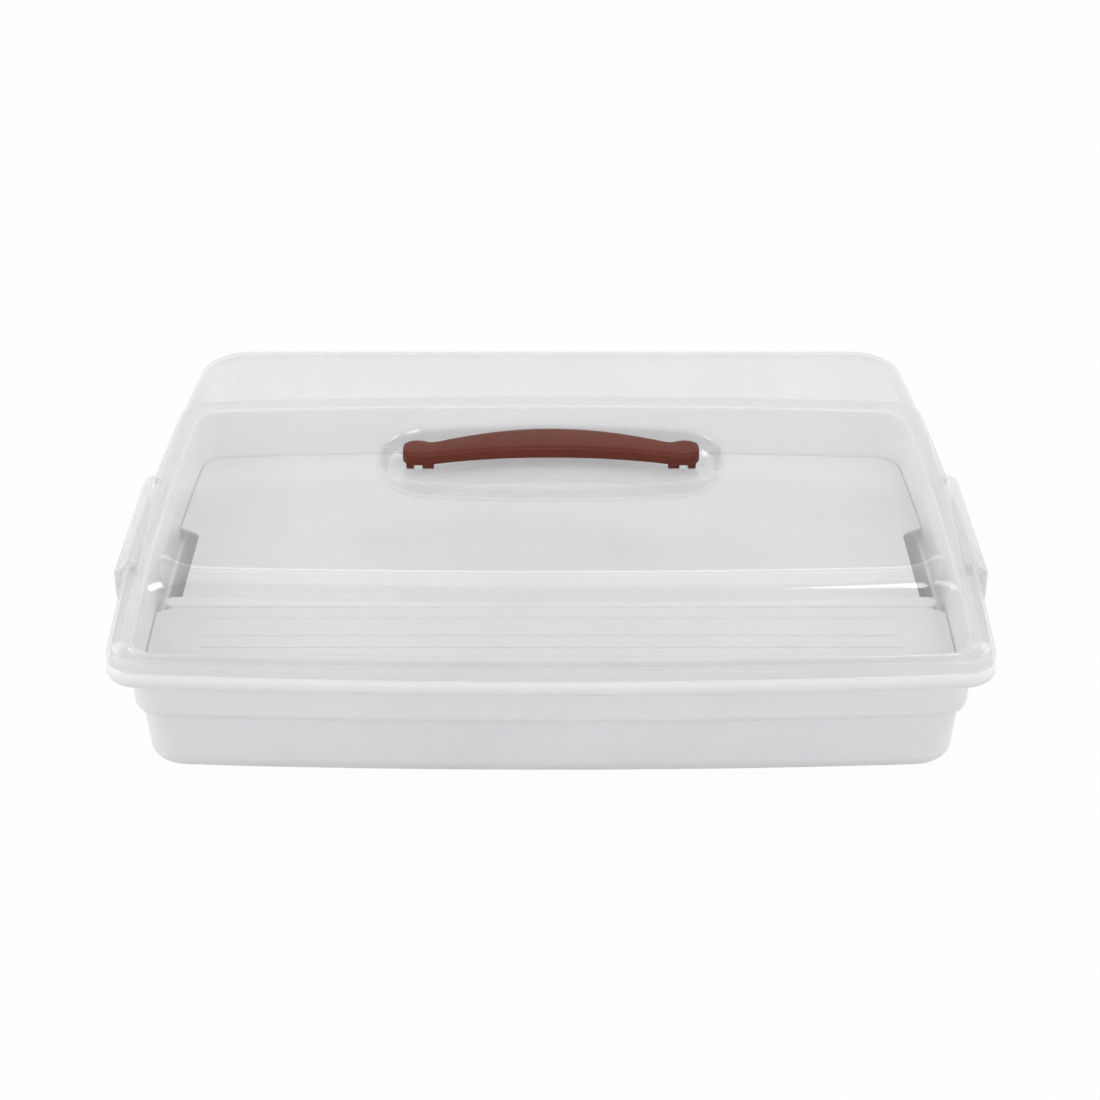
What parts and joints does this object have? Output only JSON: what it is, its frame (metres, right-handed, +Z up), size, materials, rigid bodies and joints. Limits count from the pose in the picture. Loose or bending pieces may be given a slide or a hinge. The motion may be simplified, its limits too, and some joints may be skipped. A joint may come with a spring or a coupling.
{
  "type": "cake carrier",
  "caption": "Rectangular cake carrier: white base tub with a flat lift-out insert, a clear lid with a fold-down carry handle in its recess, and a latch on each short side.",
  "frame": {"origin": "centre of the underside, on the surface that the carrier stands on", "axes": "+X along the long side, +Y towards the rear, +Z up"},
  "size_m": [0.46, 0.3, 0.122],
  "materials": {
    "white_plastic": "satin",
    "white_insert": "satin",
    "clear_plastic": "hazy clear",
    "clear_clip": "hazy clear",
    "brown_plastic": "fine texture"
  },
  "bodies": {
    "base": {"base_tub": "white_plastic"},
    "insert": {"insert_tray": "white_insert"},
    "lid": {"lid": "clear_plastic"},
    "handle": {"handle": "brown_plastic"},
    "latch_left": {"clip_left": "clear_clip"},
    "latch_right": {"clip_right": "clear_clip"}
  },
  "joints": [
    {"name": "insert_lift", "type": "slide", "parent": "base", "child": "insert", "axis": [0, 0, 1], "range_m": [0, 0.038]},
    {"name": "lid_lift", "type": "slide", "parent": "base", "child": "lid", "axis": [0, 0, 1], "range_m": [0, 0.045]},
    {"name": "handle_fold", "type": "hinge", "parent": "lid", "child": "handle", "pos_m": [0, 0.0016, 0.1166], "axis": [1, 0, 0], "range_deg": [0, 90]},
    {"name": "latch_left_swing", "type": "hinge", "parent": "lid", "child": "latch_left", "pos_m": [-0.2205, 0, 0.079], "axis": [0, 1, 0], "range_deg": [0, 96]},
    {"name": "latch_right_swing", "type": "hinge", "parent": "lid", "child": "latch_right", "pos_m": [0.2205, 0, 0.079], "axis": [0, -1, 0], "range_deg": [0, 96]}
  ],
  "couplings": [
    {"joint": "insert_lift", "follows": "lid_lift", "ratio": 0.84},
    {"joint": "latch_left_swing", "follows": "lid_lift", "rad_per_m": 36.846},
    {"joint": "latch_right_swing", "follows": "lid_lift", "rad_per_m": 36.846}
  ]
}
